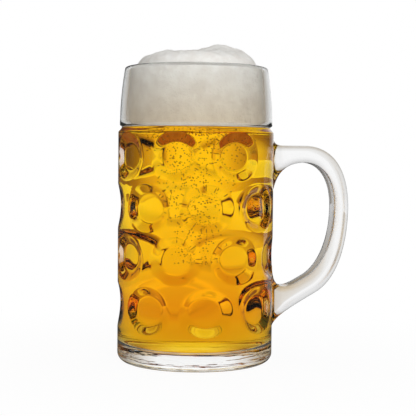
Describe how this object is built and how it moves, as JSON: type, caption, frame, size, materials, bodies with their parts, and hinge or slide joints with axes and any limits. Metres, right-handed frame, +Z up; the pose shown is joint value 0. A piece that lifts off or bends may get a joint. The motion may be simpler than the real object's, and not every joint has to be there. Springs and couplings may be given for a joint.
{
  "type": "glass tankard",
  "caption": "Tall clear glass beer tankard with staggered round dimples, a plain band, a stuck-on handle, amber beer and a head of foam.",
  "frame": {"origin": "on the mug's axis, on the plane that the standing ring rests on", "axes": "+Z up along the mug's axis, +X towards the handle, +Y across the handle"},
  "size_m": [0.1602, 0.1068, 0.2154],
  "materials": {
    "clear_glass": "clear soda-lime glass, fire-polished",
    "beer": "clear amber liquid",
    "foam": "fine wet froth, matt"
  },
  "bodies": {
    "root": {"glass_body": "clear_glass", "handle": "clear_glass", "beer": "beer", "foam_head": "foam"}
  },
  "joints": []
}
